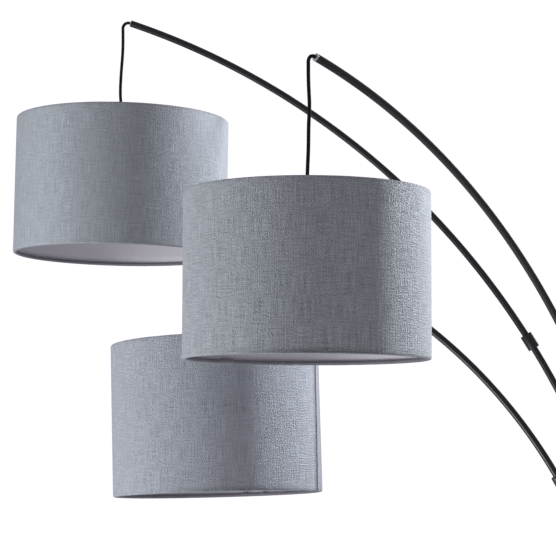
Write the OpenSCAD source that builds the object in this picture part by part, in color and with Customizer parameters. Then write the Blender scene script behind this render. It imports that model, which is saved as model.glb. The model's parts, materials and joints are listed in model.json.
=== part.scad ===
// Floor lamp with three arched arms on one pole, each with a drum shade hanging from its tip.
// Millimetres, +Z up, origin at the centre of the base's underside, +X to the viewer's right.
// The three arms, their cords and their shades are numbered 1 (back, tallest), 2 (front), 3 (middle, lowest).

/* [Base] */
// Diameter of the base cover
base_d = 320; // [280:1:380]
// Height of the base cover at its rim
base_h = 26; // [22:0.5:34]
// Rounding of the cover's upper edge
base_round = 9; // [5:0.5:12]
// Rise of the cover from its rim to the foot of the pole
base_rise = 3; // [1:0.5:8]
// Sheet thickness of the cover
cover_wall = 1.2; // [0.8:0.1:2]
// Height of the raised seat under the pole
boss_h = 5; // [3:0.5:10]
// Diameter of the raised seat under the pole
boss_d = 42; // [36:1:60]
// Thickness of the floor pad
pad_h = 3; // [2:0.5:5]
// Gap between the floor and the cover's lower edge
skirt_gap = 0.8; // [0.5:0.1:1.5]

/* [Pole] */
// Outside diameter of the pole
pole_d = 25; // [22:0.5:32]
// Wall of the pole
pole_wall = 1.5; // [1:0.1:2.5]
// Height of the joint between the two pole pieces
pole_split = 372; // [250:1:500]
// Width of the ring that shows between the two pole pieces
joint_ring_h = 8; // [5:0.5:14]
// How far the joint reaches into each pole piece
joint_grip = 30; // [20:1:45]
// Diameter of the threaded shank through the base
shank_d = 13; // [12:0.5:15]
// Bore of the shank
shank_bore = 9; // [8:0.1:10]

/* [Hub] */
// Height of the top of the hub above the floor
hub_top = 740; // [650:1:900]
// Diameter of the hub
hub_d = 76; // [74:1:100]
// Distance of each arm's socket from the pole's axis
socket_reach = 24; // [23:0.5:26]
// Diameter of each socket boss
socket_d = 22; // [20:0.5:23]
// Height of each socket boss above the hub's plate
socket_h = 16; // [12:0.5:24]
// Thickness of the hub's plate
plate_h = 8; // [6:0.5:12]
// Depth of the bowl under the plate
bowl_h = 20; // [18:0.5:30]
// Wall of the bowl
bowl_wall = 2; // [1.5:0.1:3]
// Length of the neck that takes the pole
neck_h = 22; // [16:0.5:30]

/* [Arms] */
// Outside diameter of the arm tube
arm_d = 10; // [9:0.1:12]
// Wall of the arm tube
arm_wall = 1; // [0.8:0.1:1.2]
// Directions of the arms, anticlockwise from +X
arm_azimuth = [174.6, 222.8, 189.8]; // [160:0.1:240]
// Bend radii of the arms
arm_radius = [1148, 916, 731]; // [700:1:1300]
// Sweep of each arc from the vertical
arm_sweep = [70.2, 74.1, 78.4]; // [60:0.1:80]
// Straight rise of each arm above the hub
arm_rise = [38, 65, 65]; // [36:1:90]
// Place of the joint along each arc
joint_angle = [31.2, 30, 29.8]; // [20:0.1:40]
// Diameter of the collar over each arm joint
collar_d = 17.5; // [15:0.1:20]
// Length of the collar
collar_h = 23.5; // [18:0.5:30]
// Length of the sleeve inside each arm joint
sleeve_h = 50; // [36:1:70]
// Diameter of the thrust ring that carries each arm
thrust_d = 15; // [13:0.1:17]
// Height of the thrust ring
thrust_h = 6; // [4:0.5:9]
// Thickness of the grommet's flange at each arm tip
grommet_h = 1.2; // [0.8:0.1:1.5]

/* [Cords] */
// Diameter of the round cord
cord_d = 4.6; // [4.4:0.1:4.8]
// Length of the hanging cord from its bend to the cord grip
cord_drop = [136.5, 152.5, 146.5]; // [130:0.5:160]

/* [Shades] */
// Diameters of the shades
shade_d = [318, 295, 287]; // [270:1:330]
// Heights of the shades
shade_h = [203.5, 199, 207.5]; // [195:0.5:225]
// Leans of the shades, top towards +X
shade_lean = [0.9, 0.2, -1.6]; // [-2:0.1:2]
// Tilts of the shades, lower rim towards the viewer
shade_tilt = [0.2, 0, 2.9]; // [-3:0.1:3]
// How far each shade hangs to the right of the point on which it swings
shade_shift = [1.4, -1.8, 1.7]; // [-3:0.1:3]
// Thickness of the shade's cloth
cloth_wall = 0.8; // [0.6:0.1:1.2]
// Thickness of the shade's stiff lining
liner_wall = 1; // [0.8:0.1:1.4]
// Diameter of the wire in each rim
wire_d = 3.2; // [2.5:0.1:4]
// Diameter of the three spokes
spoke_d = 3; // [2.5:0.1:4]
// Depth of the spider's ring below the top rim
spider_drop = 24; // [20:0.5:30]

/* [Lamp holder and bulb] */
// Diameter of the holder's threaded skirt
holder_d = 40; // [38:0.5:42]
// Length of the skirt below the spider's ring
holder_h = 40; // [34:0.5:46]
// Diameter of the bulb's glass
bulb_d = 60; // [55:1:64]
// Overall length of the bulb
bulb_h = 108; // [104:1:114]
// Diameter of the bulb's screw cap
bulb_cap_d = 26.4; // [25.5:0.1:27]

/* [Fits] */
// Running fit on the radius of each arm in its bush
run_fit = 0.08; // [0.03:0.01:0.09]
// Fit on the radius between fixed pieces
snug = 0.05; // [0.03:0.01:0.08]
// Gap between faces that turn on each other
face_gap = 0.1; // [0.05:0.01:0.2]
// Room around a cord in its bore
cord_room = 0.25; // [0.2:0.01:0.3]

/* [Hidden] */
$fn = 96;
ARMS = [0, 1, 2];
socket_azimuth = [60, -60, 180];

// Base
base_r = base_d / 2;
cover_top = base_h + base_rise + boss_h;
weight_gap = 0.3;
weight_side_gap = 0.6;
weight_top = base_h - cover_wall - weight_gap;
weight_r = base_r - cover_wall - weight_side_gap;
shank_room = 0.2;
channel_w = 10;
channel_h = 7;
nut_room_d = 40;
cable_d = 6;
cable_z = pad_h + channel_h / 2;
cable_turn = 6;
shank_end = cable_z + cable_turn;
nut_h = 5.5;
nut_d = 22;
nut_flange_h = 1.2;
web_z = shank_end + nut_h;
gland_d = 8.6;
gland_flange_d = 11;
gland_flange_h = 2.5;
gland_inner_h = 8;
gland_bore = cable_d + 2 * face_gap;
pad_r = base_r - gland_inner_h - 1;

// Pole
pole_bore = pole_d - 2 * pole_wall;
plug_d = pole_bore - 2 * snug;
plug_h = 30;
joint_ring_d = pole_d + 2.4;
joint_bore = 12;
lower_end = pole_split - joint_ring_h / 2;
upper_start = pole_split + joint_ring_h / 2;

// Hub, from its top down
boss_z = hub_top - socket_h;
plate_z = boss_z - plate_h;
bowl_z = plate_z - bowl_h;
throat_h = 16;
neck_top = bowl_z - throat_h;
neck_z = neck_top - neck_h;
neck_d = pole_d + 6;
seat_wall = 2;
pole_top = neck_top;
ledge_w = 5;
bowl_r = hub_d / 2;
spigot_ring_h = 4;
bush_d = arm_d + 3.6;
bush_flange_d = 18;
bush_flange_h = 1.5;
spigot_drop = 10;
block_h = 8;
tail_depth = 6;
screw_d = 3.9;
groove_depth = 0.4;
groove_h = 3.6;
screw_tip_d = 3;
screw_z = boss_z + socket_h / 2;

// Arms
arm_bore = arm_d - 2 * arm_wall;
arm_start = hub_top + bush_flange_h + face_gap;
spigot_z = plate_z - spigot_drop;
grommet_d = arm_d + 0.4;
grommet_neck = 5;

// Cords: length that leaves each grommet straight, then the points of the bend after it,
// [outwards, up] from the grommet's face, one list for each arm
cord_lead = 1.2;
bend_points = [
    [[4.1, 0.9], [7.1, 0.2], [9.6, -1.6], [11.2, -4.1], [11.8, -7.1]],
    [[4, 0.6], [6.8, -0.1], [9.2, -1.9], [10.8, -4.4], [11.4, -7.4]],
    [[4, 0.4], [6.7, -0.4], [9.1, -2.2], [10.6, -4.7], [11.1, -7.5]],
];
// Points below the bend, [towards +X, up], one list for each cord
drop_points = [
    [[0, 0], [0.2, -12], [0.2, -24], [-0.1, -35], [-0.7, -46], [-1.5, -57], [-2.2, -68], [-2.8, -80],
        [-3.1, -91], [-3, -102], [-2.1, -112], [-0.6, -121]],
    [[0, 0], [0, -12], [0.2, -24], [0.7, -36], [1.2, -48], [1, -60], [0.4, -72], [0.1, -84],
        [0, -96], [-0.3, -108], [-0.8, -120], [-1.3, -132]],
    [[0, 0], [-0.2, -12], [-0.4, -24], [-0.5, -36], [-0.3, -48], [0, -60], [0.2, -72], [0.3, -84],
        [0.4, -96], [0.6, -108], [0.9, -120], [1.2, -131]],
];
// Length that enters the cord grip straight
grip_lead = 5;
cord_sides = 10;

// Cord grip and lamp holder, heights from the shade's top rim
grip_top = 4;
grip_h = 7;
grip_d = 13;
grip_depth = 6;
grip_end_room = 0.3;
cap_h = 17;
flange_h = 3;
flange_d = holder_d + 10;
bulb_room = 0.3;
holder_bore = bulb_cap_d + 2 * bulb_room;
spider_h = 2;
spider_d = flange_d + 6;
ring_h = 10;
ring_d = flange_d + 8;
bulb_top = -(spider_drop + 13);
bulb_cap_h = 27;
bulb_neck_d = 30;
glass_wall = 1;

// Shade rims
rim_corner = 0.5;
lip_h = cloth_wall + wire_d + 1;

// Places on an arm and its pendant

function socket_x(i) = socket_reach * cos(socket_azimuth[i]);
function socket_y(i) = socket_reach * sin(socket_azimuth[i]);
function arc_start(i) = hub_top + arm_rise[i];
function face_angle(i) = arm_sweep[i] + arc_angle(i, grommet_h);
function face_out(i) = arm_radius[i] * (1 - cos(face_angle(i)));
function face_z(i) = arc_start(i) + arm_radius[i] * sin(face_angle(i));
function bend_end(i) = bend_points[i][len(bend_points[i]) - 1];
function pivot_out(i) = face_out(i) + bend_end(i)[0];
function pivot_z(i) = face_z(i) + bend_end(i)[1] - cord_d / 2 - face_gap;
function pivot(i) = [
    socket_x(i) + pivot_out(i) * cos(arm_azimuth[i]),
    socket_y(i) + pivot_out(i) * sin(arm_azimuth[i]),
    pivot_z(i)];

// Angle of a length measured along the arc
function arc_angle(i, length) = 180 * length / (PI * arm_radius[i]);

// The arm's own frame: its socket's axis is Z and it bends towards +X
module in_arm(i) {
    translate([socket_x(i), socket_y(i), 0])
        rotate([0, 0, arm_azimuth[i]])
            children();
}

// A place along the arc, with Z along the tube
module at_arc(i, sweep) {
    in_arm(i)
        translate([arm_radius[i] * (1 - cos(sweep)), 0, arc_start(i) + arm_radius[i] * sin(sweep)])
            rotate([0, sweep, 0])
                children();
}

// A flat section carried along the arc between two angles
module along_arc(i, from, to) {
    in_arm(i)
        translate([arm_radius[i], 0, arc_start(i)])
            mirror([1, 0, 0])
                rotate([90, 0, 0])
                    rotate([0, 0, from])
                        rotate_extrude(angle = to - from, $fn = 360)
                            translate([arm_radius[i], 0])
                                children();
}

// The pendant's frame: the point on which it swings
module in_pendant(i) {
    translate(pivot(i))
        children();
}

// The shade's frame: the centre of its top rim, leaning and tilting with the shade
module in_shade(i) {
    in_pendant(i)
        translate([shade_shift[i], 0, -cord_drop[i]])
            rotate([-shade_tilt[i], shade_lean[i], 0])
                translate([0, 0, -grip_top])
                    children();
}

// Simple solids

module tube(d, bore, h) {
    difference() {
        cylinder(d = d, h = h);
        translate([0, 0, -1])
            cylinder(d = bore, h = h + 2);
    }
}

module ring_section(d, bore) {
    difference() {
        circle(d = d, $fn = 48);
        circle(d = bore, $fn = 48);
    }
}

// Points of a quarter round from one angle to another
function quarter(x, y, r, from, to, steps = 6) =
    [for (k = [0:steps]) let (a = from + (to - from) * k / steps) [x + r * cos(a), y + r * sin(a)]];

// A round cord swept along points in the XZ plane, with a round start where one is asked for
module cord_along(route, round_start = false) {
    dome = round_start ? [75, 50, 25] : [];
    points = concat([for (a = dome) route[0] + [0, cord_d / 2 * sin(a)]], route);
    radii = concat([for (a = dome) cord_d / 2 * cos(a)], [for (p = route) cord_d / 2]);
    n = len(points);
    function heading(k) = points[min(k + 1, n - 1)] - points[max(k - 1, 0)];
    function ring(k) =
        let (way = heading(k) / norm(heading(k)), side = [way[1], -way[0]])
        [for (s = [0:cord_sides - 1])
            let (a = 360 * s / cord_sides, across = radii[k] * cos(a))
            [points[k][0] + side[0] * across, radii[k] * sin(a), points[k][1] + side[1] * across]];
    corners = [for (k = [0:n - 1]) each ring(k)];
    walls = [for (k = [0:n - 2]) for (s = [0:cord_sides - 1])
        let (a = k * cord_sides + s, b = k * cord_sides + (s + 1) % cord_sides)
        each [[a, b, b + cord_sides], [a, b + cord_sides, a + cord_sides]]];
    first = [for (s = [cord_sides - 1:-1:0]) s];
    last = [for (s = [0:cord_sides - 1]) (n - 1) * cord_sides + s];
    polyhedron(corners, concat(walls, [first, last]));
}

// Base

function cover_line(inset) = concat(
    [[0, cover_top - inset], [boss_d / 2 - 2 - inset, cover_top - inset]],
    [[boss_d / 2 - inset, cover_top - 2 - inset], [boss_d / 2 + 3 - inset, base_h + base_rise - inset]],
    quarter(base_r - base_round, base_h - base_round, base_round - inset, 90, 0));

module base_pad() {
    color("dimgray")
        cylinder(r = pad_r, h = pad_h, $fn = 180);
}

module base_weight() {
    edge = base_round + 1;
    color("gray")
        difference() {
            rotate_extrude($fn = 180)
                polygon([[0, pad_h], [weight_r - 2, pad_h], [weight_r, pad_h + 2],
                    [weight_r, weight_top - edge], [weight_r - edge, weight_top], [0, weight_top]]);
            translate([0, 0, pad_h - 1])
                cylinder(d = nut_room_d, h = web_z - pad_h + 1);
            cylinder(d = shank_d + 2 * shank_room, h = weight_top + 1);
            translate([-channel_w / 2, 0, pad_h - 1])
                cube([channel_w, base_r, channel_h + 1]);
            translate([0, pad_r, cable_z])
                rotate([-90, 0, 0])
                    cylinder(d = gland_d + 1, h = base_r);
        }
}

module base_cover() {
    skirt = [[base_r, skirt_gap], [base_r - cover_wall, skirt_gap]];
    outside = cover_line(0);
    inside = cover_line(cover_wall);
    back = [for (k = [len(inside) - 1:-1:0]) inside[k]];
    color("black")
        difference() {
            rotate_extrude($fn = 180)
                polygon(concat(outside, skirt, back));
            cylinder(d = shank_d + 2 * shank_room, h = cover_top + 1);
            translate([0, base_r - base_round, cable_z])
                rotate([-90, 0, 0])
                    cylinder(d = gland_d + 2 * snug, h = 2 * base_round);
        }
}

// Turned plug in the pole's foot, with a hollow threaded shank down through the base
module base_stud() {
    color("silver")
        difference() {
            union() {
                translate([0, 0, cover_top])
                    cylinder(d = plug_d, h = plug_h);
                translate([0, 0, shank_end])
                    cylinder(d = shank_d, h = cover_top - shank_end + 1);
            }
            translate([0, 0, shank_end - 1])
                cylinder(d = shank_bore, h = cover_top + plug_h);
        }
}

// Flanged hexagon nut
module base_nut() {
    color("silver")
        difference() {
            union() {
                translate([0, 0, shank_end])
                    cylinder(d = nut_d, h = nut_h, $fn = 6);
                translate([0, 0, web_z - nut_flange_h])
                    cylinder(d = nut_d + 6, h = nut_flange_h);
            }
            translate([0, 0, shank_end - 1])
                cylinder(d = shank_d + 2 * snug, h = nut_h + 2);
        }
}

// Bush that lines the cable hole in the rim
module cable_gland() {
    color("black")
        translate([0, 0, cable_z])
            rotate([-90, 0, 0])
                difference() {
                    union() {
                        translate([0, 0, base_r - gland_inner_h])
                            cylinder(d = gland_d, h = gland_inner_h + 1);
                        translate([0, 0, base_r])
                            cylinder(d1 = gland_flange_d, d2 = gland_flange_d - 2, h = gland_flange_h);
                    }
                    translate([0, 0, base_r - gland_inner_h - 1])
                        cylinder(d = gland_bore, h = gland_inner_h + gland_flange_h + 2);
                }
}

// Pole

module pole_lower() {
    color("black")
        translate([0, 0, cover_top])
            tube(pole_d, pole_bore, lower_end - cover_top);
}

module pole_upper() {
    color("black")
        translate([0, 0, upper_start])
            tube(pole_d, pole_bore, pole_top - upper_start);
}

// Threaded joint with a ring that shows between the pole pieces
module pole_joint() {
    edge = 0.8;
    r = joint_ring_d / 2;
    color("black")
        difference() {
            union() {
                translate([0, 0, lower_end - joint_grip])
                    cylinder(d = plug_d, h = joint_ring_h + 2 * joint_grip);
                rotate_extrude()
                    polygon([[0, lower_end], [r - edge, lower_end], [r, lower_end + edge],
                        [r, upper_start - edge], [r - edge, upper_start], [0, upper_start]]);
            }
            translate([0, 0, lower_end - joint_grip - 1])
                cylinder(d = joint_bore, h = joint_ring_h + 2 * joint_grip + 2);
        }
}

// Supply cable from the gland through the base and up the pole to the terminal block
module pole_cable() {
    rise = bowl_z + block_h / 2 - shank_end;
    run = base_r - gland_inner_h - cable_turn;
    color("dimgray")
        union() {
            translate([0, 0, shank_end])
                cylinder(d = cable_d, h = rise);
            translate([0, cable_turn, shank_end])
                rotate([0, 90, 0])
                    rotate([0, 0, -90])
                        rotate_extrude(angle = 90)
                            translate([cable_turn, 0])
                                circle(d = cable_d);
            translate([0, cable_turn, cable_z])
                rotate([-90, 0, 0])
                    cylinder(d = cable_d, h = run);
        }
}

// Hub

module hub_bowl() {
    inner = bowl_r - bowl_wall;
    throat = pole_bore / 2;
    ledge = inner - ledge_w;
    edge = 1;
    round_r = 5;
    round_start = -60;
    cone_foot = [neck_d / 2, neck_top + 2];
    cone_end = [bowl_r - 7, bowl_z - 3];
    color("black")
        rotate_extrude()
            polygon(concat(
                [[pole_d / 2 + snug, neck_z], [neck_d / 2 - edge, neck_z], [neck_d / 2, neck_z + edge]],
                [cone_foot, cone_end],
                quarter(bowl_r - round_r, bowl_z + 1, round_r, round_start, 0, 4),
                [[bowl_r, plate_z], [inner, plate_z], [inner, bowl_z], [ledge, bowl_z],
                    [throat, neck_top + seat_wall], [throat, neck_top], [pole_d / 2 + snug, neck_top]]));
}

module hub_head() {
    edge = 2.5;
    inner = bowl_r - bowl_wall - snug;
    crown_h = 5;
    crown_r = 12;
    color("black")
        difference() {
            union() {
                rotate_extrude()
                    polygon(concat(
                        [[0, plate_z], [inner - 3, plate_z], [inner - 3, plate_z - spigot_ring_h],
                            [inner, plate_z - spigot_ring_h], [inner, plate_z], [bowl_r, plate_z]],
                        quarter(bowl_r - edge, boss_z - edge, edge, 0, 90, 4),
                        quarter(crown_r - crown_h, boss_z, crown_h, 0, 90, 4),
                        [[0, boss_z + crown_h]]));
                for (i = ARMS)
                    translate([socket_x(i), socket_y(i), boss_z - 1]) {
                        cylinder(d = socket_d, h = socket_h);
                        translate([0, 0, socket_h])
                            cylinder(d1 = socket_d, d2 = socket_d - 2, h = 1);
                    }
            }
            for (i = ARMS) {
                translate([socket_x(i), socket_y(i), plate_z - 1])
                    cylinder(d = bush_d + 2 * snug, h = plate_h + socket_h + 2);
                screw_way(i, screw_d + 2 * snug, socket_d);
            }
        }
}

// A straight way through a socket's outer wall, away from the pole
module screw_way(i, d, reach) {
    translate([socket_x(i), socket_y(i), screw_z])
        rotate([0, 90, socket_azimuth[i]])
            cylinder(d = d, h = reach);
}

// Plain bearings in which the arms turn
module hub_bushes() {
    color("white")
        for (i = ARMS)
            difference() {
                translate([socket_x(i), socket_y(i), plate_z]) {
                    cylinder(d = bush_d, h = plate_h + socket_h);
                    translate([0, 0, plate_h + socket_h])
                        cylinder(d = bush_flange_d, h = bush_flange_h);
                }
                translate([socket_x(i), socket_y(i), plate_z - 1])
                    cylinder(d = arm_d + 2 * run_fit, h = plate_h + socket_h + bush_flange_h + 2);
                screw_way(i, screw_d + 2 * snug, socket_d);
            }
}

// Grub screws that run in the groove of each arm and keep it from lifting out
module hub_screws() {
    tip = arm_d / 2 - groove_depth + face_gap;
    shoulder = arm_d / 2 + face_gap;
    color("silver")
        for (i = ARMS)
            translate([socket_x(i), socket_y(i), screw_z])
                rotate([0, 90, socket_azimuth[i]])
                    difference() {
                        union() {
                            translate([0, 0, tip])
                                cylinder(d = screw_tip_d, h = shoulder - tip + 1);
                            translate([0, 0, shoulder])
                                cylinder(d = screw_d, h = socket_d / 2 - 0.3 - shoulder);
                        }
                        translate([0, 0, socket_d / 2 - 2.3])
                            cylinder(d = 2, h = 3, $fn = 6);
                    }
}

// Terminal block on the bowl's ledge, and the wire tails that rise from it to the arms
module hub_terminal() {
    block_r = bowl_r - bowl_wall - snug;
    tail_z = bowl_z + block_h - tail_depth + face_gap;
    color("ivory")
        difference() {
            translate([0, 0, bowl_z])
                cylinder(r = block_r, h = block_h);
            translate([0, 0, bowl_z - 1])
                cylinder(d = cable_d + 2 * snug, h = block_h / 2 + 1);
            for (i = ARMS)
                translate([socket_x(i), socket_y(i), bowl_z + block_h - tail_depth])
                    cylinder(d = cord_d + 2 * snug, h = block_h);
            for (i = ARMS)
                rotate([0, 0, socket_azimuth[i] + 60])
                    translate([socket_reach, 0, bowl_z + block_h / 2])
                        cylinder(d = 6, h = block_h);
        }
    color("dimgray")
        for (i = ARMS)
            translate([socket_x(i), socket_y(i), tail_z])
                cylinder(d = cord_d, h = spigot_z - face_gap - tail_z);
}

// Arms

// Straight foot with its thrust ring and groove, and the arc up to the joint
module arm_lower(i) {
    color("black")
        union() {
            in_arm(i)
                difference() {
                    union() {
                        translate([0, 0, spigot_z])
                            cylinder(d = arm_d, h = arc_start(i) - spigot_z);
                        translate([0, 0, arm_start])
                            cylinder(d = thrust_d, h = thrust_h - 1);
                        translate([0, 0, arm_start + thrust_h - 1])
                            cylinder(d1 = thrust_d, d2 = thrust_d - 2, h = 1);
                    }
                    translate([0, 0, spigot_z - 1])
                        cylinder(d = arm_bore, h = arc_start(i) - spigot_z + 2);
                    translate([0, 0, screw_z - groove_h / 2])
                        tube(arm_d + 2, arm_d - 2 * groove_depth, groove_h);
                }
            along_arc(i, 0, joint_angle[i])
                ring_section(arm_d, arm_bore);
        }
}

module arm_upper(i) {
    color("black")
        along_arc(i, joint_angle[i], arm_sweep[i])
            ring_section(arm_d, arm_bore);
}

// Turned collar over the joint, bored along the tube's arc
module arm_collar(i) {
    edge = 0.8;
    half = collar_h / 2;
    margin = arc_angle(i, collar_h);
    color("black")
        difference() {
            at_arc(i, joint_angle[i])
                rotate_extrude()
                    polygon([[0, -half], [collar_d / 2 - edge, -half], [collar_d / 2, edge - half],
                        [collar_d / 2, half - edge], [collar_d / 2 - edge, half], [0, half]]);
            along_arc(i, joint_angle[i] - margin, joint_angle[i] + margin)
                circle(d = arm_d + 2 * snug, $fn = 48);
        }
}

// Sleeve inside both tube ends
module arm_sleeve(i) {
    reach = arc_angle(i, sleeve_h / 2);
    color("silver")
        along_arc(i, joint_angle[i] - reach, joint_angle[i] + reach)
            ring_section(arm_bore - 2 * snug, cord_d + 4 * cord_room);
}

module arm_grommet(i) {
    color("lightgray")
        at_arc(i, arm_sweep[i])
            difference() {
                union() {
                    translate([0, 0, -grommet_neck])
                        cylinder(d = arm_bore - 2 * snug, h = grommet_neck + grommet_h / 2);
                    cylinder(d1 = grommet_d, d2 = grommet_d - 0.8, h = grommet_h);
                }
                translate([0, 0, -grommet_neck - 1])
                    cylinder(d = cord_d + 2 * snug, h = grommet_neck + grommet_h + 2);
            }
}

// The cord inside the arm, from the hub to the grommet's face
module arm_wire(i) {
    color("dimgray")
        union() {
            in_arm(i)
                translate([0, 0, spigot_z])
                    cylinder(d = cord_d, h = arc_start(i) - spigot_z);
            along_arc(i, 0, face_angle(i))
                circle(d = cord_d, $fn = 48);
        }
}

// The same cord where it comes out of the arm and bends down
module cord_bend(i) {
    lead = cord_lead * [sin(face_angle(i)), cos(face_angle(i))];
    color("black")
        in_arm(i)
            translate([face_out(i), 0, face_z(i)])
                cord_along(concat([[0, 0], lead], bend_points[i]));
}

// The hanging length, whose round upper end is the point on which the pendant swings
module cord_drop(i) {
    last = [for (z = [grip_lead, grip_end_room - grip_depth]) [shade_shift[i], z - cord_drop[i]]];
    color("black")
        in_pendant(i)
            cord_along(concat(drop_points[i], last), round_start = true);
}

// Pendant

// Room around the cord in its grip, which stands askew to it as the shade leans
function grip_room(i) = cord_room + grip_depth * sin(norm([shade_lean[i], shade_tilt[i]]));

// Clamping nut around the cord
module cord_grip(i) {
    color("black")
        in_shade(i)
            translate([0, 0, grip_top - grip_h])
                difference() {
                    union() {
                        cylinder(d = grip_d, h = grip_h - 1.5);
                        translate([0, 0, grip_h - 1.5])
                            cylinder(d1 = grip_d, d2 = grip_d - 3, h = 1.5);
                    }
                    translate([0, 0, grip_h - grip_depth])
                        cylinder(d = cord_d + 2 * grip_room(i), h = grip_depth + 1);
                }
}

// Domed cap, shade flange and threaded skirt in one moulding, open below for the bulb
module lamp_holder(i) {
    top = grip_top - grip_h;
    shoulder = top - cap_h;
    low = -spider_drop - holder_h;
    skirt_r = holder_d / 2;
    crown_r = 8;
    dome_r = 13;
    edge = 1;
    color("black")
        in_shade(i)
            difference() {
                rotate_extrude()
                    polygon(concat(
                        [[0, top], [crown_r, top]],
                        quarter(crown_r, top - dome_r, dome_r, 90, 0, 5),
                        [[crown_r + dome_r, shoulder], [flange_d / 2, shoulder], [flange_d / 2, -spider_drop],
                            [skirt_r, -spider_drop], [skirt_r, low + edge], [skirt_r - edge, low], [0, low]]));
                translate([0, 0, low - 1])
                    cylinder(d = holder_bore, h = bulb_top + bulb_room - low + 1);
            }
}

// Threaded ring that clamps the shade from below
module shade_ring(i) {
    z = -spider_drop - spider_h;
    ribs = 24;
    color("black")
        in_shade(i)
            difference() {
                translate([0, 0, z - ring_h])
                    cylinder(d = ring_d, h = ring_h);
                translate([0, 0, z - ring_h - 1])
                    cylinder(d = holder_d + 2 * snug, h = ring_h + 2);
                for (k = [0:ribs - 1])
                    rotate([0, 0, 360 * (k + 0.5) / ribs])
                        translate([ring_d / 2 + 0.6, 0, z - ring_h - 1])
                            cylinder(d = 3, h = ring_h - 2, $fn = 16);
            }
}

// Radii through the shade's wall, from the outside in
function cloth_in(i) = shade_d[i] / 2 - cloth_wall;
function liner_out(i) = cloth_in(i) - snug;
function liner_in(i) = liner_out(i) - liner_wall;
function wire_r(i) = liner_in(i) - snug - wire_d / 2;
function lip_out(i) = wire_r(i) - wire_d / 2 - snug;
function lip_in(i) = lip_out(i) - cloth_wall;
wire_z = -cloth_wall - snug - wire_d / 2;

// Top rim wire with the three-spoke spider, and the bottom rim wire
module shade_frame(i) {
    hub_r = (holder_d / 2 + snug + spider_d / 2) / 2;
    fall = -spider_drop - spider_h / 2 - wire_z;
    run = wire_r(i) - hub_r;
    color("dimgray")
        in_shade(i) {
            for (z = [wire_z, -shade_h[i] - wire_z])
                translate([0, 0, z])
                    rotate_extrude($fn = 180)
                        translate([wire_r(i), 0])
                            circle(d = wire_d, $fn = 32);
            difference() {
                union() {
                    translate([0, 0, -spider_drop - spider_h])
                        cylinder(d = spider_d, h = spider_h);
                    for (k = ARMS)
                        rotate([0, 0, 120 * k])
                            translate([hub_r, 0, wire_z + fall])
                                rotate([0, atan2(run, -fall), 0])
                                    cylinder(d = spoke_d, h = norm([run, fall]));
                }
                translate([0, 0, -spider_drop - spider_h - 5])
                    cylinder(d = holder_d + 2 * snug, h = spider_h + 10);
                translate([0, 0, -spider_drop - spider_h - ring_h])
                    cylinder(d = ring_d + 1, h = ring_h);
                translate([0, 0, -spider_drop])
                    cylinder(d = flange_d + 1, h = flange_h + spoke_d);
            }
        }
}

module shade_liner(i) {
    low = -shade_h[i] + cloth_wall + snug;
    color("lavender")
        in_shade(i)
            difference() {
                translate([0, 0, low])
                    cylinder(r = liner_out(i), h = -cloth_wall - snug - low, $fn = 180);
                translate([0, 0, low - 1])
                    cylinder(r = liner_in(i), h = shade_h[i] + 2, $fn = 180);
            }
}

// Cloth skin, turned in over both rim wires and notched for the spokes
module shade_cloth(i) {
    r = shade_d[i] / 2;
    c = rim_corner;
    h = shade_h[i];
    t = cloth_wall;
    color("slategray")
        in_shade(i)
            difference() {
                rotate_extrude($fn = 180)
                    polygon([[r, -c], [r - c, 0], [lip_in(i) + c, 0], [lip_in(i), -c], [lip_in(i), -lip_h],
                        [lip_out(i), -lip_h], [lip_out(i), -t], [cloth_in(i), -t],
                        [cloth_in(i), t - h], [lip_out(i), t - h], [lip_out(i), lip_h - h],
                        [lip_in(i), lip_h - h], [lip_in(i), c - h], [lip_in(i) + c, -h], [r - c, -h],
                        [r, c - h]]);
                for (k = ARMS)
                    rotate([0, 0, 120 * k])
                        translate([lip_in(i) - 3, -spoke_d / 2 - 0.3, -lip_h - 1])
                            cube([cloth_wall + 3.5, spoke_d + 0.6, lip_h + 1 - cloth_wall - 0.2]);
            }
}

// Frosted glass envelope and its screw cap
module bulb(i) {
    globe_z = bulb_top - bulb_h + bulb_d / 2;
    neck_z = bulb_top - bulb_cap_h;
    color("ivory")
        in_shade(i) {
            rotate_extrude()
                difference() {
                    bulb_outline(globe_z, neck_z, 0);
                    bulb_outline(globe_z, neck_z + 1, glass_wall);
                }
            difference() {
                translate([0, 0, neck_z])
                    cylinder(d = bulb_cap_d, h = bulb_cap_h - 3);
                translate([0, 0, neck_z - 1])
                    cylinder(d = bulb_cap_d - 3, h = bulb_cap_h - 5);
            }
            translate([0, 0, bulb_top - 3])
                cylinder(d1 = bulb_cap_d - 6, d2 = 10, h = 3);
        }
}

// Half outline of the glass: a ball drawn up into a neck
module bulb_outline(globe_z, neck_z, inset) {
    r = bulb_d / 2;
    join = 48;
    polygon(concat(
        [for (k = [0:16]) let (a = -90 + (90 + join) * k / 16)
            [max(0, (r - inset) * cos(a)), globe_z + (r - inset) * sin(a)]],
        [[bulb_neck_d / 2 - inset + 0.5, neck_z - 12], [bulb_neck_d / 2 - 2 - inset, neck_z], [0, neck_z]]));
}

base_pad();
base_weight();
base_cover();
base_stud();
base_nut();
cable_gland();
pole_lower();
pole_joint();
pole_upper();
pole_cable();
hub_bowl();
hub_head();
hub_bushes();
hub_screws();
hub_terminal();
for (i = ARMS) {
    arm_lower(i);
    arm_upper(i);
    arm_collar(i);
    arm_sleeve(i);
    arm_grommet(i);
    arm_wire(i);
    cord_bend(i);
    cord_drop(i);
    cord_grip(i);
    lamp_holder(i);
    shade_ring(i);
    shade_frame(i);
    shade_liner(i);
    shade_cloth(i);
    bulb(i);
}
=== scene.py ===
import json
import math

import bmesh
import bpy
import numpy as np
from mathutils import Matrix, Vector, noise


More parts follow.
